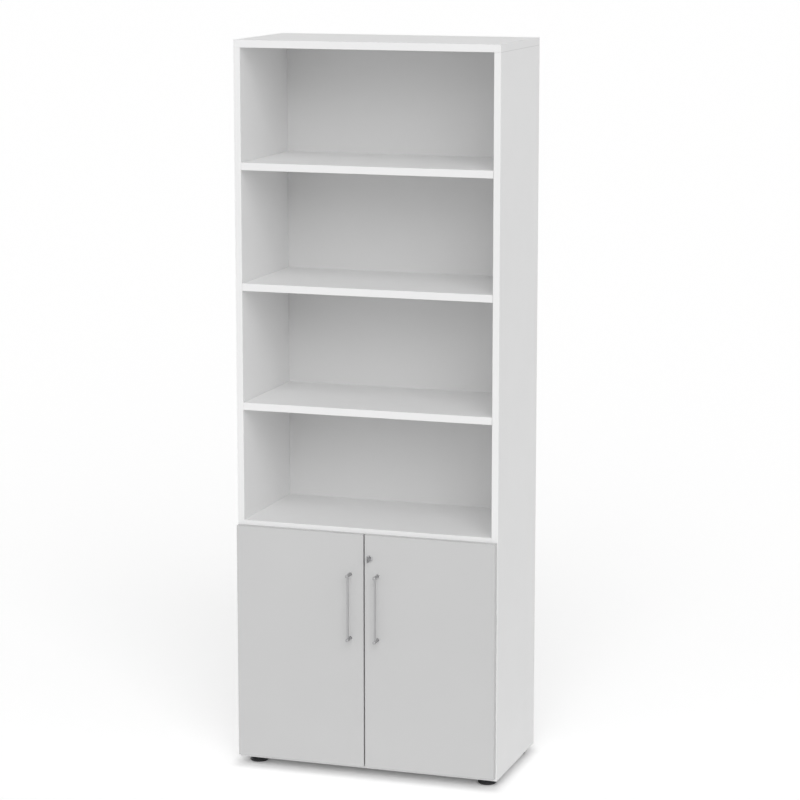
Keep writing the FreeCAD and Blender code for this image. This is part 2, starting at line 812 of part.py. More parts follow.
def post_at(x, y, radius, low, high):
    return Part.makeCylinder(number(radius), number(high) - number(low), point(x, y, low))


def slab(face, low, high):
    lifted = face.copy()
    lifted.translate(FreeCAD.Vector(0, 0, number(low)))
    return lifted.extrude(FreeCAD.Vector(0, 0, number(high) - number(low)))


def link_band(start, end, bow):
    """The plan of a strip of sheet that follows a parabola from one pivot to the other."""
    chord = end - start
    normal = FreeCAD.Vector(-chord.y, chord.x, 0).normalize()
    half = number("link_thickness / 2")
    curve = Part.BezierCurve()
    curve.setPoles([start, (start + end) * 0.5 + normal * (2 * number(bow)), end])
    rims = []
    for side in (half, -half):
        points = []
        for step in range(RIM_STEPS + 1):
            along = step / RIM_STEPS
            tangent = curve.tangent(along)[0]
            points.append(curve.value(along) + FreeCAD.Vector(-tangent.y, tangent.x, 0) * side)
        rim = Part.BSplineCurve()
        rim.interpolate(points)
        rims.append(rim)
    caps = [Part.makeLine(rims[0].StartPoint, rims[1].StartPoint),
            Part.makeLine(rims[0].EndPoint, rims[1].EndPoint)]
    edges = [rim.toShape() for rim in rims] + caps
    return Part.Face(Part.Wire(Part.sortEdges(edges)[0]))


def link(start, end, bow, low, high, start_hole, end_hole):
    """A bowed link with an eye at each end."""
    first, last = point(*start), point(*end)
    body = slab(link_band(first, last, bow), low, high)
    for centre, hole in ((start, start_hole), (end, end_hole)):
        body = body.fuse(post_at(*centre, "link_eye_diameter / 2", low, high))
    for centre, hole in ((start, start_hole), (end, end_hole)):
        body = body.cut(post_at(*centre, hole, f"{low} - 1", f"{high} + 1"))
    return body.removeSplitter()


RIM_STEPS = 8
ARM_INNER = ("arm_inner_x", "arm_inner_y")
ARM_OUTER = ("arm_outer_x", "arm_outer_y")
CUP_INNER = ("cup_inner_x", "cup_inner_y")
CUP_OUTER = ("cup_outer_x", "cup_outer_y")
ARM_HOLE = "arm_pin_diameter / 2 + running_play"
CUP_HOLE = "cup_pin_diameter / 2 + running_play"
ARM_SCREWS = ("arm_screw_behind", "side_screw_behind")


def inner_link():
    half = "inner_link_width / 2"
    loose = "cup_pin_diameter / 2 + open_pivot_play"
    return [link(ARM_INNER, CUP_INNER, "inner_link_bow", f"-{half}", half, ARM_HOLE, loose)]


def outer_link():
    """Two side plates, one above and one below the inner link."""
    return both_ways(link(ARM_OUTER, CUP_OUTER, "outer_link_bow", "link_plate_inner",
                          "link_plate_outer", ARM_HOLE, CUP_HOLE))


def arm_pins():
    reach = "cheek_outer + arm_sheet / 2"
    return [post_at(*pivot, "arm_pin_diameter / 2", f"-({reach})", reach)
            for pivot in (ARM_INNER, ARM_OUTER)]


def cup_pins():
    """One pin through the inner link, and two stubs that leave its path free."""
    radius = "cup_pin_diameter / 2"
    stub = post_at(*CUP_OUTER, radius, "link_plate_inner - press_play", "cheek_outer")
    return [post_at(*CUP_INNER, radius, "-(cheek_outer)", "cheek_outer")] + both_ways(stub)


def hinge_arm():
    """A channel of folded sheet: two cheeks that hold the pins and a web on the plate."""
    nose = number("arm_nose_radius")
    seat = number("arm_seat_x")
    rear = number("door_back + arm_rear_behind")
    root = number("door_back + arm_root_behind")
    half = number("cheek_outer")
    spine = seat + nose
    corners = [point(*ARM_INNER), point(*ARM_OUTER),
               FreeCAD.Vector(spine + number("arm_rear_rise"), rear - nose, 0),
               FreeCAD.Vector(spine, rear - nose, 0), FreeCAD.Vector(spine, root, 0)]
    outline_wire = Part.makePolygon(corners + corners[:1]).makeOffset2D(nose)
    cheek = slab(Part.Face(outline_wire), "cheek_inner", "cheek_outer")
    for pivot in (ARM_INNER, ARM_OUTER):
        cheek = cheek.cut(post_at(*pivot, ARM_HOLE, "cheek_inner - 1", "cheek_outer + 1"))
    web = Part.makeBox(number("arm_sheet"), rear - nose - root, 2 * half,
                       FreeCAD.Vector(seat, root, -half))
    bores = [Part.makeCylinder(number("screw_radius + screw_clearance"), number("2 * arm_sheet"),
                               point("arm_seat_x", f"door_back + {behind}"), X_AXIS)
             for behind in ARM_SCREWS]
    return [web.fuse(both_ways(cheek)).cut(bores).removeSplitter()]


def hinge_plate():
    """A cross-shaped plate on the side, with a rail that the arm lies on."""
    rail = number("arm_seat_x - plate_x")
    body = Part.makeBox(rail, number("plate_length"), number("plate_width"),
                        point("plate_x", "carcass_front + plate_front", "-plate_width / 2"))
    low = point("plate_x", "carcass_front + system_line - plate_wing_length / 2",
                "-plate_wing_span / 2")
    wing = Part.makeBox(number("plate_thickness"), number("plate_wing_length"),
                        number("plate_wing_span"), low)
    plate = body.fuse(wing)
    bore = number("screw_hole_radius")
    seats = [point("plate_x", "carcass_front + system_line", f"{sign} * system_pitch / 2")
             for sign in SIGNS]
    seats += [point("plate_x", f"door_back + {behind}") for behind in ARM_SCREWS]
    for seat in seats:
        plate = plate.cut(Part.makeCylinder(bore, rail, seat, X_AXIS))
    return [plate.removeSplitter()]


def hinge_plate_screws():
    seats = [point("plate_x + plate_thickness", "carcass_front + system_line",
                   f"{sign} * system_pitch / 2") for sign in SIGNS]
    return [screw(seat, -X_AXIS, number("plate_thickness + screw_depth")) for seat in seats]


def hinge_arm_screws():
    """The screw that clamps the arm to its plate and the one that sets the door sideways."""
    shank = number("arm_seat_x - plate_x + arm_sheet - dowel_end_play")
    return [screw(point("arm_seat_x + arm_sheet", f"door_back + {behind}"), -X_AXIS, shank)
            for behind in ARM_SCREWS]


def hinge_cup():
    """A round cup let into the door, with a screwed flange and two ears that hold its pins."""
    centre = point("cup_x", "door_back")
    radius = number("cup_radius")
    flange = number("flange_thickness")
    shell = Part.makeCylinder(radius, number("cup_depth"), centre, -Y_AXIS)
    rim = Part.makeCylinder(radius + number("flange_lip"), flange, centre, Y_AXIS)
    plate = Part.makeBox(number("flange_width"), flange, number("flange_length"),
                         point("cup_x - flange_width / 2", "door_back", "-flange_length / 2"))
    depth = number("cup_depth - cup_floor")
    hollow = Part.makeCylinder(number("cup_radius - cup_wall"), depth + 2 * flange,
                               centre + Y_AXIS * (2 * flange), -Y_AXIS)
    body = shell.fuse([rim, plate]).cut(hollow).fuse(cup_ears(centre, radius))
    for sign in SIGNS:
        seat = point("cup_x", "door_back", f"{sign} * cup_screw_offset")
        body = body.cut(Part.makeCylinder(number("screw_hole_radius"), flange, seat, Y_AXIS))
    for pivot in (CUP_INNER, CUP_OUTER):
        body = body.cut(post_at(*pivot, CUP_HOLE, "-cheek_outer", "cheek_outer"))
    notch = rim_notch("-cup_radius - flange_lip", "ear_far_across", "notch_depth",
                      "inner_link_width / 2 + notch_side_play")
    mouth = rim_notch("mouth_across", "cup_radius + flange_lip", "mouth_depth",
                      "link_plate_outer + notch_side_play")
    return [body.cut([notch, mouth]).removeSplitter()]


def rim_notch(near, far, depth, half):
    """Space for the links across the cup's rim, between two places across the cup."""
    low = point(f"cup_x + {near}", f"door_back - {depth}", f"-({half})")
    high = point(f"cup_x + {far}", "door_back + 2 * flange_thickness", half)
    size = high - low
    return Part.makeBox(size.x, size.y, size.z, low)


def cup_ears(centre, radius):
    """Upright walls inside the cup that carry the pins' ends."""
    depth = number("ear_depth")
    height = depth + number("ear_rise")
    bounds = Part.makeCylinder(radius, height, centre - Y_AXIS * depth, Y_AXIS)
    wall = Part.makeBox(number("ear_near_across - ear_far_across"), height,
                        number("cheek_outer - cheek_inner"),
                        point("cup_x + ear_far_across", "door_back - ear_depth", "cheek_inner"))
    return both_ways(wall.common(bounds))


def hinges():
    for side, sign in SIDES.items():
        hinge_group(f"hinge_cups_{side}", (sign,), hinge_cup)
        hinge_group(f"hinge_cup_pins_{side}", (sign,), cup_pins)
        hinge_group(f"hinge_outer_links_{side}", (sign,), outer_link)
        hinge_group(f"hinge_inner_links_{side}", (sign,), inner_link)
        hinge_group(f"hinge_arms_{side}", (sign,), hinge_arm)
        hinge_group(f"hinge_arm_pins_{side}", (sign,), arm_pins)
        hinge_group(f"hinge_plates_{side}", (sign,), hinge_plate)
    hinge_group("hinge_plate_screws", SIDES.values(), hinge_plate_screws)
    hinge_group("hinge_arm_screws", SIDES.values(), hinge_arm_screws)


def door_screws(side):
    """The screws in a door's back: hinge cups, and the lock's or the slide bolt's pieces."""
    left = side == "left"
    seats = [(f"{SIDES[side]} * -cup_x", f"{level} + {sign} * cup_screw_offset",
              "flange_thickness") for level in ("hinge_low", "hinge_high") for sign in SIGNS]
    if left:
        seats += [(f"bolt_x + {shift}", z, "bolt_case_sheet") for shift, z in bolt_screw_places()]
    else:
        seats += [(f"lock_x + {shift}", z, "guide_ear_thickness")
                  for shift, z in lock_screw_places()]
    group(f"door_screws_{side}",
          [screw(point(x, f"door_back + {grip}", z), -Y_AXIS, number(f"{grip} + screw_depth"))
           for x, z, grip in seats])


# ---------------------------------------------------------------- lock

def lock_housing():
    """The barrel through the door with its rosette, turned about the Y axis."""
    body = new_body("lock_housing", "lock_x", "door_front", "lock_z")
    bore = "plug_diameter / 2 + running_play"
    rim = "rosette_diameter / 2"
    barrel = "barrel_diameter / 2"
    end = "door_thickness + barrel_in_case"
    sketch = sketch_on(body, "XY_Plane")
    outline(sketch, [
        (bore, "-rosette_height"), (f"{rim} - rosette_edge", "-rosette_height"),
        (rim, "rosette_edge - rosette_height"), (rim, "0"), (barrel, "0"), (barrel, end),
        (bore, end)])
    turned(body, sketch)


def lock_plug():
    body = new_body("lock_plug", "lock_x", "plug_front", "lock_z")
    sketch = sketch_on(body, "XZ_Plane")
    circle(sketch, "0", "0", "plug_diameter / 2")
    pad(body, sketch, "rosette_height - plug_recess + door_thickness + plug_in_case", True)
    sketch = sketch_on(body, "XZ_Plane")
    rectangle(sketch, "-keyway_width / 2", "-keyway_height / 2", "keyway_width / 2",
              "keyway_height / 2")
    pocket(body, sketch, "keyway_depth", False)


def lock_key():
    """A flat key, seen from its shoulder: the blade towards +Y, the bow towards -Y."""
    body = new_body("lock_key", "lock_x", "plug_front", "lock_z")
    blade = "key_blade_height / 2"
    bow = "key_bow_height / 2"
    bow_front = "-(key_shoulder + key_bow_length)"
    cuts = []
    for count in (4, 3, 2, 1):
        middle = f"{count} * key_cut_pitch"
        cuts += [(f"{middle} + key_cut_depth", blade),
                 (middle, f"{blade} - key_cut_depth * (1 + {count % 2}) / 2"),
                 (f"{middle} - key_cut_depth", blade)]
    sketch = sketch_on(body, "YZ_Plane", "-key_thickness / 2")
    outline(sketch, [
        (bow_front, f"-{bow}"), ("-key_shoulder", f"-{bow}"),
        ("-key_shoulder", f"-{blade} - 1"), ("-key_face_gap", f"-{blade} - 1"),
        ("-key_face_gap", f"-{blade}"), ("key_blade_length - 2", f"-{blade}"),
        ("key_blade_length", "0"), ("key_blade_length - 2", blade)] + cuts + [
        ("-key_face_gap", blade), ("-key_face_gap", f"{blade} + 1"),
        ("-key_shoulder", f"{blade} + 1"), ("-key_shoulder", bow), (bow_front, bow)])
    pad(body, sketch, "key_thickness")
    ring = [("-(key_shoulder + key_bow_length * 0.6)", "0")]
    holes(body, "YZ_Plane", "-key_thickness / 2", ring, "key_ring_diameter / 2",
          "key_thickness", True)
    limit = number(bow) - 0.01
    round_edges(body, lambda box: box.XLength > 0.1 and box.YLength + box.ZLength < 0.01
                and max(box.ZMax, -box.ZMin) > limit, "key_corner")


def lock_case():
    """A closed box on the door's back, with bores for the barrel, the plug and the rod."""
    body = new_body("lock_case", "lock_x", "door_back", "lock_z")
    sketch = sketch_on(body, "XZ_Plane")
    rectangle(sketch, "-case_width / 2", "-case_height / 2", "case_width / 2", "case_height / 2")
    pad(body, sketch, "case_depth", True)
    rear = number("case_depth") - 0.01
    round_edges(body, lambda box: box.YMin > rear, "case_edge")
    sketch = sketch_on(body, "XZ_Plane")
    rectangle(sketch, "-case_ear_width / 2", "-(case_height / 2 + case_ear)",
              "case_ear_width / 2", "case_height / 2 + case_ear")
    pad(body, sketch, "guide_ear_thickness", True)
    centre = [("0", "0")]
    holes(body, "XZ_Plane", "0", centre, "barrel_diameter / 2 + barrel_play",
          "barrel_in_case + barrel_play", False)
    holes(body, "XZ_Plane", "0", centre, "plug_diameter / 2 + screw_clearance",
          "plug_in_case + dowel_end_play", False)
    holes(body, "XY_Plane", "-case_height / 2", [("0", "rod_standoff")],
          "rod_diameter / 2 + rod_play", "case_height", True)
    screws = [("0", f"{sign} * (case_height / 2 + case_ear / 2)") for sign in SIGNS]
    holes(body, "XZ_Plane", "0", screws, "screw_hole_radius", "guide_ear_thickness", False)


def lock_rod():
    rod = register(doc.addObject("Part::Cylinder", "lock_rod"), "lock_rod")
    bind(rod, "Radius", "rod_diameter / 2")
    bind(rod, "Height", "rod_top - rod_bottom")
    place(rod, "lock_x", "rod_y", "rod_bottom")


def lock_rod_hooks():
    """A casting pressed on each end of the rod: a hub, an arm and a finger round the pin."""
    height = number("hook_height")
    width = number("hook_arm_width")
    hooks = []
    for level in ("rod_bottom", "rod_top - hook_height"):
        foot = point("lock_x", "rod_y", level)
        finger = Part.makeCylinder(number("hook_inner_radius + hook_band"), height, foot, Z_AXIS,
                                   number("hook_sweep"))
        finger = finger.cut(Part.makeCylinder(number("hook_inner_radius"), height, foot))
        finger.rotate(foot, Z_AXIS, -number("hook_arm_angle + hook_lead"))
        arm = Part.makeBox(number("hook_inner_radius + hook_band / 2"), width, height,
                           foot - Y_AXIS * (width / 2))
        arm.rotate(foot, Z_AXIS, -number("hook_arm_angle"))
        hub = Part.makeCylinder(number("rod_diameter / 2 + hook_hub_wall"), height, foot)
        bore = Part.makeCylinder(number("rod_diameter / 2 + press_play"), height, foot)
        hooks.append(hub.fuse([finger, arm]).cut(bore).removeSplitter())
    group("lock_rod_hooks", hooks)


def lock_rod_guides():
    """Blocks on the door's back in which the rod turns."""
    width = number("guide_width")
    height = number("guide_height")
    reach = number("guide_ear")
    guides = []
    for level in GUIDE_LEVELS:
        low = point("lock_x - guide_width / 2", "door_back", f"{level} - guide_height / 2")
        block = Part.makeBox(width, number("rod_standoff + rod_diameter / 2 + guide_wall"),
                             height, low)
        foot = Part.makeBox(width + 2 * reach, number("guide_ear_thickness"), height,
                            low - X_AXIS * reach)
        guide = block.fuse(foot)
        guide = guide.cut(Part.makeCylinder(number("rod_diameter / 2 + rod_play"), height,
                                            point("lock_x", "rod_y", f"{level} - guide_height / 2")))
        for sign in SIGNS:
            seat = point(f"lock_x + {sign} * (guide_width + guide_ear) / 2", "door_back", level)
            guide = guide.cut(Part.makeCylinder(number("screw_hole_radius"), reach, seat, Y_AXIS))
        guides.append(guide.removeSplitter())
    group("lock_rod_guides", guides)


def lock_strikes():
    """Shouldered pins pressed into the fixed shelf and into the bottom board."""
    pin = number("strike_pin_diameter / 2")
    collar = number("strike_flange_diameter / 2")
    sheet_height = number("strike_flange_thickness")
    reach = number("strike_pin_length")
    strikes = []
    for level, direction in (("fixed_shelf_bottom", -Z_AXIS), ("bottom_board_top", Z_AXIS)):
        strikes.append(lathe(point("lock_x", "strike_y", level), direction, [
            (0, -number("strike_peg_length")), (pin, -number("strike_peg_length")), (pin, 0),
            (collar, 0), (collar, sheet_height), (pin, sheet_height), (pin, reach), (0, reach)]))
    group("lock_strikes", strikes)


# ---------------------------------------------------------------- slide bolt

def slide_bolt():
    body = new_body("slide_bolt", "bolt_x", "bolt_y", "bolt_top - bolt_length")
    sketch = sketch_on(body, "XY_Plane")
    circle(sketch, "0", "0", "bolt_diameter / 2")
    pad(body, sketch, "bolt_length")
    sketch = sketch_on(body, "XZ_Plane")
    circle(sketch, "0", "bolt_length / 2", "bolt_stud_diameter / 2")
    pad(body, sketch, "bolt_stud_reach", True)


def slide_bolt_case():
    """A folded case on the door's back, with a slot for the bolt's stud."""
    body = new_body("slide_bolt_case", "bolt_x", "door_back", "bolt_case_z")
    side = "bolt_case_width / 2"
    end = "bolt_case_length / 2"
    sketch = sketch_on(body, "XZ_Plane")
    rectangle(sketch, f"-({side})", f"-({end})", side, end)
    pad(body, sketch, "bolt_case_depth", True)
    sketch = sketch_on(body, "XZ_Plane")
    rectangle(sketch, f"-({side}) - bolt_case_ear", f"-({end})", f"{side} + bolt_case_ear", end)
    pad(body, sketch, "bolt_case_sheet", True)
    holes(body, "XY_Plane", f"-({end})", [("0", "bolt_standoff")],
          "bolt_diameter / 2 + rod_play", "bolt_case_length", True)
    half = "bolt_stud_diameter / 2 + bolt_hole_play"
    sketch = sketch_on(body, "XZ_Plane", "-bolt_standoff")
    rectangle(sketch, f"-({half})", f"-(bolt_travel / 2 + {half})", half,
              f"bolt_travel / 2 + {half}")
    pocket(body, sketch, "bolt_case_depth", False)
    screws = [(x, f"{z} - bolt_case_z") for x, z in bolt_screw_places()]
    holes(body, "XZ_Plane", "0", screws, "screw_hole_radius", "bolt_case_sheet", False)


# ---------------------------------------------------------------- assembly and export

top_board()
bottom_board()
fixed_shelf()
back_panel()
for name, (top, setback, first) in LOOSE_SHELVES.items():
    loose_shelf(name, top, setback)
carcass_dowels()
shelf_supports()
foot_sockets()
for name in SIDES:
    side_panel(name)
    for end in ENDS:
        levelling_foot(name, end)
    door(name)
    door_screws(name)
    door_bumpers(name)
    handle(name)
hinges()
lock_housing()
lock_plug()
lock_key()
lock_case()
lock_rod()
lock_rod_hooks()
lock_rod_guides()
lock_strikes()
slide_bolt()
slide_bolt_case()
doc.recompute()

for thing in doc.Objects:
    if {"Invalid", "Error"} & set(thing.State):
        raise RuntimeError(f"{thing.Label} does not build")
for thing in sub_parts:
    if thing.Shape.isNull() or not thing.Shape.isValid():
        raise RuntimeError(f"{thing.Label} has no valid shape")
    thing.Shape.exportStep(f"parts/{thing.Label}.step")
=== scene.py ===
import json
import math

import bmesh
import bpy
from mathutils import Matrix, Vector


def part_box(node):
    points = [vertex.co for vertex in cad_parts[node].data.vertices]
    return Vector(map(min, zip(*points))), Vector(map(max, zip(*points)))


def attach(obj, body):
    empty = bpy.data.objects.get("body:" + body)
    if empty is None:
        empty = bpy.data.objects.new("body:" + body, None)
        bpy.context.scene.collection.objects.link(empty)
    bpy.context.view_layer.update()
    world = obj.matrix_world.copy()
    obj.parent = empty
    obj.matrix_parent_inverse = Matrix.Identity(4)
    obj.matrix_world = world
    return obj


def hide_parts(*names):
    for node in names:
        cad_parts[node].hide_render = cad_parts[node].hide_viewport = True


# The looks of a tall white bookcase with two light grey cupboard doors: a finish for every
# CAD node, screws and foot spindles with their threads and recesses, a pale floor, soft
# studio light and a camera at the photograph's viewing angle. Lengths are in metres, and
# colours are linear light from 0 to 1.

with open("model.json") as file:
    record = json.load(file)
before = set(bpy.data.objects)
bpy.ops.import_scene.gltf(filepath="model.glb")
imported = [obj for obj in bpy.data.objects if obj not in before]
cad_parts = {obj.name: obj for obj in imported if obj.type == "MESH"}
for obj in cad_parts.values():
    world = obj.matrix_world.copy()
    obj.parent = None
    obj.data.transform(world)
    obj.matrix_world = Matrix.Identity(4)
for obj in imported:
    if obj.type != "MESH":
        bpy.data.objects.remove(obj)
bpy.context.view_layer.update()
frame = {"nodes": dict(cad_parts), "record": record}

# ---------------------------------------------------------------- named values

# The camera stands at the photograph's viewpoint, given from the middle of the base, and
# looks down a little. Its angles are in degrees, and its lens and sensor in millimetres.
CAMERA_PLACE = (2.61506, -7.760, 2.58918)
CAMERA_AZIMUTH = 18.311
CAMERA_PITCH = 10.310
CAMERA_LENS = 127.13
CAMERA_SENSOR = 36.0
CAMERA_REACH = 400.0

# The sky lights the scene softly, while camera and metals see it plain white.
SKY_LIGHT = 0.44
WHITE_SKY = 1.0
SUNS = {
    # name: (direction the light comes from, strength, angular size in degrees)
    "key": ((0.32, -0.80, 0.58), 1.06, 45.0),
    "fill": ((0.56, -1.0, -0.18), 1.14, 140.0),
    "back": ((-0.90, 0.80, -0.10), 0.80, 50.0),
}

# The floor that lights the bookcase, and the paler, glowing one that the camera sees. The
# glow fades to a share of itself under the bookcase, over the reach around it: painted shade
# on the floor at the bookcase's base, added to the shadow that the lit floor keeps.
FLOOR_SIZE = 160.0
FLOOR_COLOUR = 0.97
FLOOR_SEEN_COLOUR = 0.99
FLOOR_GLOW = 0.27
FLOOR_SHADE_REACH = 0.06
FLOOR_SHADE_GLOW = 0.10

WHITE = (0.86, 0.86, 0.86)
BACK_WHITE = (0.715, 0.715, 0.715)
DOOR_GREY = (0.592, 0.592, 0.592)
BEECH = (0.62, 0.44, 0.27)

# Noise rarely leaves this range, so it is spread from here.
NOISE_RANGE = (0.3, 0.7)

# Boards: the plastic edging glued to their cut edges, the seams it leaves, painted shade along
# the shaded groove at the joint under the top board, and the share of light that each line takes away.
EDGING = 0.0010
EDGING_SEAM = 0.0003
WHITE_SEAM_SHADE = 0.25
DOOR_SEAM_SHADE = 0.18
# The painted shade line along the joint under the top board: its width, and the share it takes away.
PAINTED_JOINT_SHADE_WIDTH = 0.0009
PAINTED_JOINT_SHADE = 0.2

# Screws and spindles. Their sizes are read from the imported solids, whose split corners are
# welded first: the head within a band at each end, and the shank as what stays under a share
# of the head's radius. Those of one size to so many digits share a mesh.
WELD = 0.00001
END_BAND = 0.0003
SIZE_DIGITS = 5
HEAD_SHARE = 0.8
TURNED_SEGMENTS = 24
DOME_STEPS = 5
THREAD_STEPS = 4
LEAST_THREAD_ROWS = 2
SHARP_ANGLE = 40
SCREW_STYLES = {
    "wood": {
        "head_height": 0.0020,
        "dome_height": 0.0010,
        "pitch": 0.0011,
        "thread_depth": 0.00045,
        "tip_length": 0.0024,
        "tip_radius": 0.0003,
    },
    "machine": {
        "head_height": 0.0020,
        "dome_height": 0.0014,
        "pitch": 0.0007,
        "thread_depth": 0.00035,
        "tip_length": 0.0004,
        "tip_radius": 0.0016,
    },
}
SPINDLE_PITCH = 0.00125
SPINDLE_THREAD = 0.0006
SPINDLE_CHAMFER = 0.0008

# A screw's flat top and its cross are shares of the head's radius. The cross starts a share
# of its depth above the head and narrows towards its bottom. Each screw of a node is turned
# on from the one before, in radians.
HEAD_FLAT = 0.7
RECESS_REACH = 0.60
RECESS_WIDTH = 0.15
RECESS_DEPTH = 0.0013
RECESS_OVERSHOOT = 0.25
RECESS_TAPER = 0.55
SCREW_TURN = 2.4


# ---------------------------------------------------------------- shader nodes

class Nodes:
    """Short ways to add nodes to one shader node tree."""

    def __init__(self, tree):
        self.tree = tree

    def node(self, kind, **settings):
        made = self.tree.nodes.new(kind)
        for key, value in settings.items():
            setattr(made, key, value)
        return made

    def link(self, source, target):
        self.tree.links.new(source, target)

    def feed(self, target, value):
        """Sets an input to a value, or links another node's output to it."""
        if isinstance(value, (int, float, tuple)):
            target.default_value = value
        else:
            self.link(value, target)

    def shader(self, kind, **inputs):
        """A shader node's output, with its named inputs fed."""
        made = self.node(kind)
        for name, value in inputs.items():
            self.feed(made.inputs[name], value)
        return made.outputs[0]

    def place(self):
        """The surface's place, in metres from the middle of the base."""
        return self.node("ShaderNodeTexCoord").outputs["Object"]

    def axes(self, place):
        """The x, y and z of a place."""
        parts = self.node("ShaderNodeSeparateXYZ")
        self.link(place, parts.inputs["Vector"])
        return [parts.outputs[axis] for axis in "XYZ"]

    def maths(self, operation, *values):
        made = self.node("ShaderNodeMath", operation=operation)
        for target, value in zip(made.inputs, values):
            self.feed(target, value)
        return made.outputs["Value"]

    def ramp(self, value, source, target, kind="LINEAR"):
        """A value carried from one range to another and held at its ends."""
        made = self.node("ShaderNodeMapRange", interpolation_type=kind)
        ends = {"From Min": source[0], "From Max": source[1], "To Min": target[0], "To Max": target[1]}
        for name, end in ends.items():
            made.inputs[name].default_value = end
        self.link(value, made.inputs["Value"])
        return made.outputs["Result"]

    def lit_and_seen(self, lit, seen):
        """Mixes the shader that lights the scene with the one that camera and mirrors see."""
        rays = self.node("ShaderNodeLightPath").outputs
        direct = self.maths("MAXIMUM", rays["Is Camera Ray"], rays["Is Glossy Ray"])
        either = self.maths("MAXIMUM", direct, rays["Is Transmission Ray"])
        mix = self.node("ShaderNodeMixShader")
        for target, source in zip(mix.inputs, (either, lit, seen)):
            self.link(source, target)
        return mix.outputs[0]


class Finish(Nodes):
    """A node material around one Principled shader."""

    def __init__(self, name, colour, roughness, metallic=0.0, specular=0.5):
        self.material = bpy.data.materials.new(name)
        self.material.use_nodes = True
        super().__init__(self.material.node_tree)
        self.colour = colour
        self.inputs = self.tree.nodes["Principled BSDF"].inputs
        self.inputs["Base Color"].default_value = (*colour, 1.0)
        self.inputs["Roughness"].default_value = roughness
        self.inputs["Metallic"].default_value = metallic
        self.inputs["Specular IOR Level"].default_value = specular
        self.surface = self.place()

    def noise(self, size, detail=3.0, stretch=(1, 1, 1)):
        """Noise whose features are about size wide, longer along the stretched axes."""
        mapping = self.node("ShaderNodeMapping")
        mapping.inputs["Scale"].default_value = tuple(1.0 / (size * factor) for factor in stretch)
        self.link(self.surface, mapping.inputs["Vector"])
        texture = self.node("ShaderNodeTexNoise")
        texture.inputs["Scale"].default_value = 1.0
        texture.inputs["Detail"].default_value = detail
        self.link(mapping.outputs["Vector"], texture.inputs["Vector"])
        return texture.outputs["Fac"]

    def tint(self, noise, dark, light):
        """Spreads the colour from a dark to a light factor of itself."""
        mix = self.node("ShaderNodeMix", data_type="RGBA")
        self.link(self.ramp(noise, NOISE_RANGE, (0.0, 1.0)), mix.inputs["Factor"])
        for side, factor in (("A", dark), ("B", light)):
            mix.inputs[side].default_value = (*(channel * factor for channel in self.colour), 1.0)
        self.link(mix.outputs["Result"], self.inputs["Base Color"])

    def roughen(self, noise, low, high):
        self.link(self.ramp(noise, NOISE_RANGE, (low, high)), self.inputs["Roughness"])

    def bump(self, heights, depth):
        """Adds relief of about the depth from one or more noises."""
        normal = None
        for height in heights:
            relief = self.node("ShaderNodeBump")
            relief.inputs["Distance"].default_value = depth
            self.link(height, relief.inputs["Height"])
            if normal is not None:
                self.link(normal, relief.inputs["Normal"])
            normal = relief.outputs["Normal"]
        self.link(normal, self.inputs["Normal"])

    def line(self, axis, at, width):
        """A mask that is 1 on a line across an axis and falls to 0 at the width from it."""
        distance = self.maths("ABSOLUTE", self.maths("SUBTRACT", axis, at))
        return self.ramp(distance, (width / 2, width), (1.0, 0.0), "SMOOTHSTEP")

    def darken(self, mask, share):
        """Takes a share of the surface's colour away where the mask is 1."""
        before = self.inputs["Base Color"].links[0].from_socket
        mix = self.node("ShaderNodeMix", data_type="RGBA", blend_type="MULTIPLY")
        self.link(mask, mix.inputs["Factor"])
        self.link(before, mix.inputs["A"])
        mix.inputs["B"].default_value = (1 - share, 1 - share, 1 - share, 1.0)
        self.link(mix.outputs["Result"], self.inputs["Base Color"])


# ---------------------------------------------------------------- finishes

def laminate(name, colour):
    """Melamine-faced board: matt, with a fine pebbled relief and barely uneven colour."""
    finish = Finish(name, colour, roughness=0.5, specular=0.3)
    finish.tint(finish.noise(size=0.35, detail=2.0), dark=0.985, light=1.005)
    finish.roughen(finish.noise(size=0.05, detail=4.0), low=0.48, high=0.62)
    pebbles = [finish.noise(size=0.0009, detail=2.0), finish.noise(size=0.004, detail=1.0)]
    finish.bump(pebbles, depth=0.00003)
    return finish


def carcass_board(name, colour):
    """White board with edging along its front, and painted shade along the joint under the top board.
    """
    finish = laminate(name, colour)
    x, y, z = finish.axes(finish.surface)
    low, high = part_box("side_panel_right")
    finish.darken(finish.line(y, low[1] + EDGING, EDGING_SEAM), WHITE_SEAM_SHADE)
    outer_face = finish.maths("GREATER_THAN", finish.maths("ABSOLUTE", x), high[0] - EDGING / 2)
    # Painted shade: a dark line on the sides' outer faces along the joint under the top board, where
    # the groove between the boards lies in shade.
    painted_joint_shade = finish.line(z, high[2], PAINTED_JOINT_SHADE_WIDTH)
    finish.darken(finish.maths("MULTIPLY", painted_joint_shade, outer_face), PAINTED_JOINT_SHADE)
    return finish.material


def door_board(name, colour, node):
    """Grey board with edging on all four sides of the door."""
    finish = laminate(name, colour)
    x, _, z = finish.axes(finish.surface)
    low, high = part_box(node)
    for axis, start, end in ((x, low[0], high[0]), (z, low[2], high[2])):
        for at in (start + EDGING, end - EDGING):
            finish.darken(finish.line(axis, at, EDGING_SEAM), DOOR_SEAM_SHADE)
    return finish.material


def plain_wood(name, colour):
    """Plain wood with its grain along y."""
    finish = Finish(name, colour, roughness=0.6)
    grain = finish.noise(size=0.0015, detail=5.0, stretch=(1, 12, 1))
    finish.tint(grain, dark=0.78, light=1.1)
    finish.bump([grain], depth=0.00008)
    return finish.material


def drawn_metal(name, colour, roughness):
    """Metal with fine lines along z and slightly uneven gloss."""
    finish = Finish(name, colour, roughness, metallic=1.0)
    lines = finish.noise(size=0.0004, stretch=(1, 1, 14))
    finish.tint(lines, dark=0.93, light=1.04)
    finish.roughen(lines, roughness * 0.8, roughness * 1.25)
    finish.bump([lines], depth=0.00001)
    return finish.material


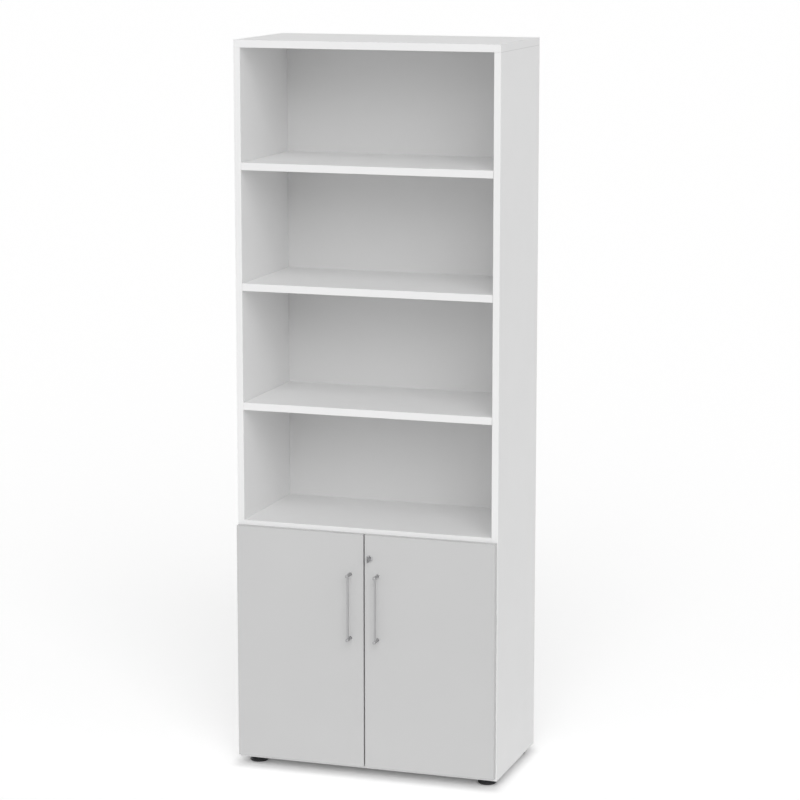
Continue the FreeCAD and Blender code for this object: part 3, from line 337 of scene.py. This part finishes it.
def plated_metal(name, colour, roughness):
    """Pressed or turned metal with a plated finish and soft cloudiness."""
    finish = Finish(name, colour, roughness, metallic=1.0)
    clouds = finish.noise(size=0.006)
    finish.tint(clouds, dark=0.92, light=1.03)
    finish.roughen(clouds, roughness * 0.85, roughness * 1.3)
    finish.bump([finish.noise(size=0.0005, detail=2.0)], depth=0.000008)
    return finish.material


def moulded(name, colour, roughness):
    """Moulded plastic with a fine spark-eroded grain."""
    finish = Finish(name, colour, roughness, specular=0.45)
    finish.tint(finish.noise(size=0.01, detail=2.0), dark=0.9, light=1.08)
    finish.roughen(finish.noise(size=0.002), roughness * 0.85, roughness * 1.2)
    finish.bump([finish.noise(size=0.0006, detail=2.0)], depth=0.00004)
    return finish.material


def painted_metal(name, colour):
    """Sheet metal under satin paint with a slight orange peel."""
    finish = Finish(name, colour, roughness=0.38)
    finish.tint(finish.noise(size=0.02, detail=2.0), dark=0.96, light=1.03)
    finish.roughen(finish.noise(size=0.004), low=0.32, high=0.46)
    finish.bump([finish.noise(size=0.0012)], depth=0.00004)
    return finish.material


# A finish for each material slot of the record, apart from the doors' own.
FINISHES = {
    "white_board": carcass_board("white_board", WHITE),
    "back_board": laminate("back_board", BACK_WHITE).material,
    "dowel_wood": plain_wood("dowel_wood", BEECH),
    "zinc_steel": plated_metal("zinc_steel", (0.62, 0.63, 0.64), roughness=0.34),
    "black_plastic": moulded("black_plastic", (0.018, 0.018, 0.02), roughness=0.5),
    "handle_metal": drawn_metal("handle_metal", (0.42, 0.42, 0.425), roughness=0.34),
    "hinge_steel": plated_metal("hinge_steel", (0.60, 0.60, 0.585), roughness=0.28),
    "pin_steel": drawn_metal("pin_steel", (0.52, 0.52, 0.52), roughness=0.25),
    "lock_chrome": plated_metal("lock_chrome", (0.86, 0.86, 0.87), roughness=0.10),
    "key_steel": plated_metal("key_steel", (0.30, 0.30, 0.305), roughness=0.26),
    "lock_metal": painted_metal("lock_metal", (0.45, 0.46, 0.47)),
    "guide_plastic": moulded("guide_plastic", (0.62, 0.62, 0.61), roughness=0.45),
    "bumper_rubber": moulded("bumper_rubber", (0.55, 0.55, 0.54), roughness=0.6),
}

# Nodes with a finish of their own.
NODE_FINISHES = {
    "door_left": door_board("door_board_left", DOOR_GREY, "door_left"),
    "door_right": door_board("door_board_right", DOOR_GREY, "door_right"),
    "lock_housing": plated_metal("lock_housing", (0.52, 0.52, 0.525), roughness=0.2),
}

slots = {subpart["node"]: subpart["material_slot"] for subpart in frame["record"]["subparts"]}
bodies = {
    node: body
    for body, nodes in frame["record"]["behaviour"]["bodies"].items()
    for node in nodes
}

for name, node in frame["nodes"].items():
    node.data.materials.clear()
    node.data.materials.append(NODE_FINISHES.get(name) or FINISHES[slots[name]])


# ---------------------------------------------------------------- screws and spindles

def solids(node):
    """The corner places of each separate solid of a node."""
    mesh = bmesh.new()
    mesh.from_mesh(frame["nodes"][node].data)
    bmesh.ops.remove_doubles(mesh, verts=mesh.verts, dist=WELD)
    left = dict.fromkeys(mesh.verts)
    found = []
    while left:
        first = next(iter(left))
        del left[first]
        front = [first]
        places = []
        while front:
            corner = front.pop()
            places.append(corner.co.copy())
            for edge in corner.link_edges:
                other = edge.other_vert(corner)
                if other in left:
                    del left[other]
                    front.append(other)
        found.append(places)
    mesh.free()
    return found


def measure(places):
    """The length, head radius and shank radius of a turned solid, and its placing.

    The placing's origin is the middle of the wider end, and its +Z points out of it.
    """
    low = Vector(min(place[axis] for place in places) for axis in range(3))
    high = Vector(max(place[axis] for place in places) for axis in range(3))
    size = high - low
    along = max(range(3), key=lambda axis: size[axis])
    middle = (low + high) / 2

    def radius(place):
        offset = place - middle
        offset[along] = 0.0
        return offset.length

    def radius_near(end):
        return max(radius(place) for place in places if abs(place[along] - end) < END_BAND)

    head_is_high = radius_near(high[along]) >= radius_near(low[along])
    outwards = Vector((0, 0, 0))
    outwards[along] = 1.0 if head_is_high else -1.0
    origin = middle.copy()
    origin[along] = high[along] if head_is_high else low[along]
    radii = [radius(place) for place in places]
    head = max(radii)
    shank = max((reach for reach in radii if reach < HEAD_SHARE * head), default=head)
    turn = outwards.to_track_quat("Z", "Y").to_matrix().to_4x4()
    return size[along], head, shank, Matrix.Translation(origin) @ turn


def close_ends(mesh, rings):
    """Caps the first and the last ring and turns all faces outwards."""
    mesh.faces.new(rings[0])
    mesh.faces.new(reversed(rings[-1]))
    bmesh.ops.recalc_face_normals(mesh, faces=mesh.faces)


def join_rings(mesh, rings):
    """Faces between each ring of corners and the next."""
    for upper, lower in zip(rings, rings[1:]):
        count = len(upper)
        for step in range(count):
            after = (step + 1) % count
            mesh.faces.new((upper[step], lower[step], lower[after], upper[after]))


def turned(rows, pitch):
    """A closed mesh turned about Z. Each row is (height, radius, thread depth).

    The thread is a triangular wave that climbs by one pitch in each turn.
    """
    mesh = bmesh.new()
    rings = []
    for height, radius, depth in rows:
        ring = []
        for step in range(TURNED_SEGMENTS):
            turns = step / TURNED_SEGMENTS
            wave = abs(2 * ((height / pitch - turns) % 1.0) - 1)
            reach = radius - depth * wave
            angle = 2 * math.pi * turns
            ring.append(mesh.verts.new((reach * math.cos(angle), reach * math.sin(angle), height)))
        rings.append(ring)
    join_rings(mesh, rings)
    close_ends(mesh, rings)
    return mesh


def thread_rows(start, end, radius, depth, pitch):
    """Rows of a thread from the height start down to the height end."""
    steps = max(LEAST_THREAD_ROWS, round((start - end) / pitch * THREAD_STEPS))
    heights = [start + (end - start) * step / steps for step in range(steps + 1)]
    return [(height, radius, 0.0 if height in (start, end) else depth) for height in heights]


def screw_rows(length, head, shank, style):
    """The outline of a domed screw, the top of its head at height 0."""
    rows = []
    for step in range(DOME_STEPS + 1):
        angle = math.pi / 2 * step / DOME_STEPS
        radius = head * (HEAD_FLAT + (1 - HEAD_FLAT) * math.sin(angle))
        rows.append((style["dome_height"] * (math.cos(angle) - 1), radius, 0.0))
    under_head = -style["head_height"]
    tip = style["tip_length"] - length
    rows.append((under_head, head, 0.0))
    rows += thread_rows(under_head, tip, shank, style["thread_depth"], style["pitch"])
    rows.append((-length, style["tip_radius"], 0.0))
    return rows


def spindle_rows(length, radius):
    """The outline of a threaded rod with both ends chamfered, its top at height 0."""
    end_radius = radius - SPINDLE_THREAD
    start, end = -SPINDLE_CHAMFER, SPINDLE_CHAMFER - length
    thread = thread_rows(start, end, radius, SPINDLE_THREAD, SPINDLE_PITCH)
    return [(0.0, end_radius, 0.0), *thread, (-length, end_radius, 0.0)]


def cross_recess(head):
    """A tapered cross that is cut into a screw's head."""
    reach = RECESS_REACH * head
    half = RECESS_WIDTH * head
    arm = [Vector(corner) for corner in ((half, half), (half, reach), (-half, reach))]
    outline = []
    for quarter in range(4):
        turn = Matrix.Rotation(math.pi / 2 * quarter, 2)
        outline += [turn @ corner for corner in arm]
    mesh = bmesh.new()
    rings = []
    for height, scale in ((RECESS_OVERSHOOT * RECESS_DEPTH, 1.0), (-RECESS_DEPTH, RECESS_TAPER)):
        rings.append([mesh.verts.new((*(corner * scale), height)) for corner in outline])
    join_rings(mesh, rings)
    close_ends(mesh, rings)
    return mesh


def mesh_data(name, mesh):
    """Blender mesh data made from a bmesh, which is freed."""
    data = bpy.data.meshes.new(name)
    mesh.to_mesh(data)
    mesh.free()
    return data


def loose_object(name, mesh):
    """A scene object made from a bmesh, which is freed."""
    made = bpy.data.objects.new(name, mesh_data(name, mesh))
    bpy.context.scene.collection.objects.link(made)
    return made


def cut(body, tool):
    """The body's mesh with the tool cut out of it. Both objects are removed."""
    modifier = body.modifiers.new("recess", "BOOLEAN")
    modifier.operation = "DIFFERENCE"
    modifier.solver = "EXACT"
    modifier.object = tool
    bpy.context.view_layer.update()
    shown = body.evaluated_get(bpy.context.evaluated_depsgraph_get())
    result = bpy.data.meshes.new_from_object(shown)
    for used in (body, tool):
        bpy.data.objects.remove(used)
    return result


def fastener(length, head, shank, kind):
    """The mesh of one spindle, or of one screw with its cross recess."""
    if kind == "spindle":
        return mesh_data("turned", turned(spindle_rows(length, head), SPINDLE_PITCH))
    style = SCREW_STYLES[kind]
    screw = turned(screw_rows(length, head, shank, style), style["pitch"])
    return cut(loose_object("turned", screw), loose_object("cross", cross_recess(head)))


def dress_fasteners(node, kind):
    """Replaces a node of plain fasteners with threaded ones in the same places."""
    joined = bmesh.new()
    made = {}
    for count, places in enumerate(solids(node)):
        length, head, shank, placing = measure(places)
        size = tuple(round(value, SIZE_DIGITS) for value in (length, head, shank))
        if size not in made:
            made[size] = fastener(length, head, shank, kind)
        copy = made[size].copy()
        copy.transform(placing @ Matrix.Rotation(SCREW_TURN * count, 4, "Z"))
        joined.from_mesh(copy)
        bpy.data.meshes.remove(copy)
    piece = loose_object(f"{node}_threaded", joined)
    piece.data.shade_smooth()
    piece.data.set_sharp_from_angle(angle=math.radians(SHARP_ANGLE))
    piece.data.materials.append(FINISHES[slots[node]])
    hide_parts(node)
    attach(piece, bodies[node])


for node in sorted(frame["nodes"]):
    if node.startswith("handle_screws"):
        dress_fasteners(node, "machine")
    elif node.endswith("_screws") or node.startswith("door_screws"):
        dress_fasteners(node, "wood")
    elif node.startswith("foot_spindle"):
        dress_fasteners(node, "spindle")


# ---------------------------------------------------------------- floor, light, camera

def grey(level):
    return (level, level, level, 1.0)


def make_world():
    """A soft sky that the camera and the metals see as plain white."""
    world = bpy.data.worlds.new("studio")
    bpy.context.scene.world = world
    world.use_nodes = True
    world.node_tree.nodes.clear()
    nodes = Nodes(world.node_tree)
    light = nodes.shader("ShaderNodeBackground", Color=grey(1.0), Strength=SKY_LIGHT)
    white = nodes.shader("ShaderNodeBackground", Color=grey(1.0), Strength=WHITE_SKY)
    output = nodes.node("ShaderNodeOutputWorld")
    nodes.link(nodes.lit_and_seen(light, white), output.inputs["Surface"])


def glow_with_painted_shade(nodes):
    """The floor's glow, dimmed under and around the bookcase: painted contact shade."""
    place = nodes.axes(nodes.place())
    low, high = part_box("bottom_board")
    squares = []
    for axis in range(2):
        middle = (low[axis] + high[axis]) / 2
        half = (high[axis] - low[axis]) / 2
        offset = nodes.maths("ABSOLUTE", nodes.maths("SUBTRACT", place[axis], middle))
        beyond = nodes.maths("MAXIMUM", nodes.maths("SUBTRACT", offset, half), 0.0)
        squares.append(nodes.maths("MULTIPLY", beyond, beyond))
    distance = nodes.maths("SQRT", nodes.maths("ADD", *squares))
    glows = (FLOOR_GLOW * FLOOR_SHADE_GLOW, FLOOR_GLOW)
    return nodes.ramp(distance, (0.0, FLOOR_SHADE_REACH), glows, "SMOOTHSTEP")


def make_floor():
    """A white floor that keeps the bookcase's shadow, with painted shade around its base."""
    bpy.ops.mesh.primitive_plane_add(size=FLOOR_SIZE)
    floor = bpy.context.object
    floor.name = "floor"
    material = bpy.data.materials.new("floor")
    material.use_nodes = True
    material.node_tree.nodes.clear()
    nodes = Nodes(material.node_tree)
    matt = nodes.shader("ShaderNodeBsdfDiffuse", Color=grey(FLOOR_COLOUR))
    pale = nodes.shader("ShaderNodeBsdfDiffuse", Color=grey(FLOOR_SEEN_COLOUR))
    # Painted shade: the glow dims under and around the bookcase's base.
    glow = nodes.shader("ShaderNodeEmission", Strength=glow_with_painted_shade(nodes))
    both = nodes.node("ShaderNodeAddShader")
    for target, source in zip(both.inputs, (pale, glow)):
        nodes.link(source, target)
    output = nodes.node("ShaderNodeOutputMaterial")
    nodes.link(nodes.lit_and_seen(matt, both.outputs[0]), output.inputs["Surface"])
    floor.data.materials.append(material)


def make_suns():
    for name, (source, strength, size) in SUNS.items():
        lamp = bpy.data.lights.new(name, "SUN")
        lamp.energy = strength
        lamp.angle = math.radians(size)
        sun = bpy.data.objects.new(name, lamp)
        sun.rotation_euler = Vector(source).to_track_quat("Z", "Y").to_euler()
        bpy.context.scene.collection.objects.link(sun)


def make_camera():
    data = bpy.data.cameras.new("camera")
    data.sensor_fit = "HORIZONTAL"
    data.sensor_width = CAMERA_SENSOR
    data.lens = CAMERA_LENS
    data.clip_end = CAMERA_REACH
    camera = bpy.data.objects.new("camera", data)
    turn = Matrix.Rotation(math.radians(CAMERA_AZIMUTH), 4, "Z")
    tilt = Matrix.Rotation(math.radians(90 - CAMERA_PITCH), 4, "X")
    camera.matrix_world = Matrix.Translation(CAMERA_PLACE) @ turn @ tilt
    bpy.context.scene.collection.objects.link(camera)
    bpy.context.scene.camera = camera


make_world()
make_floor()
make_suns()
make_camera()
bpy.context.scene.view_settings.view_transform = "Standard"
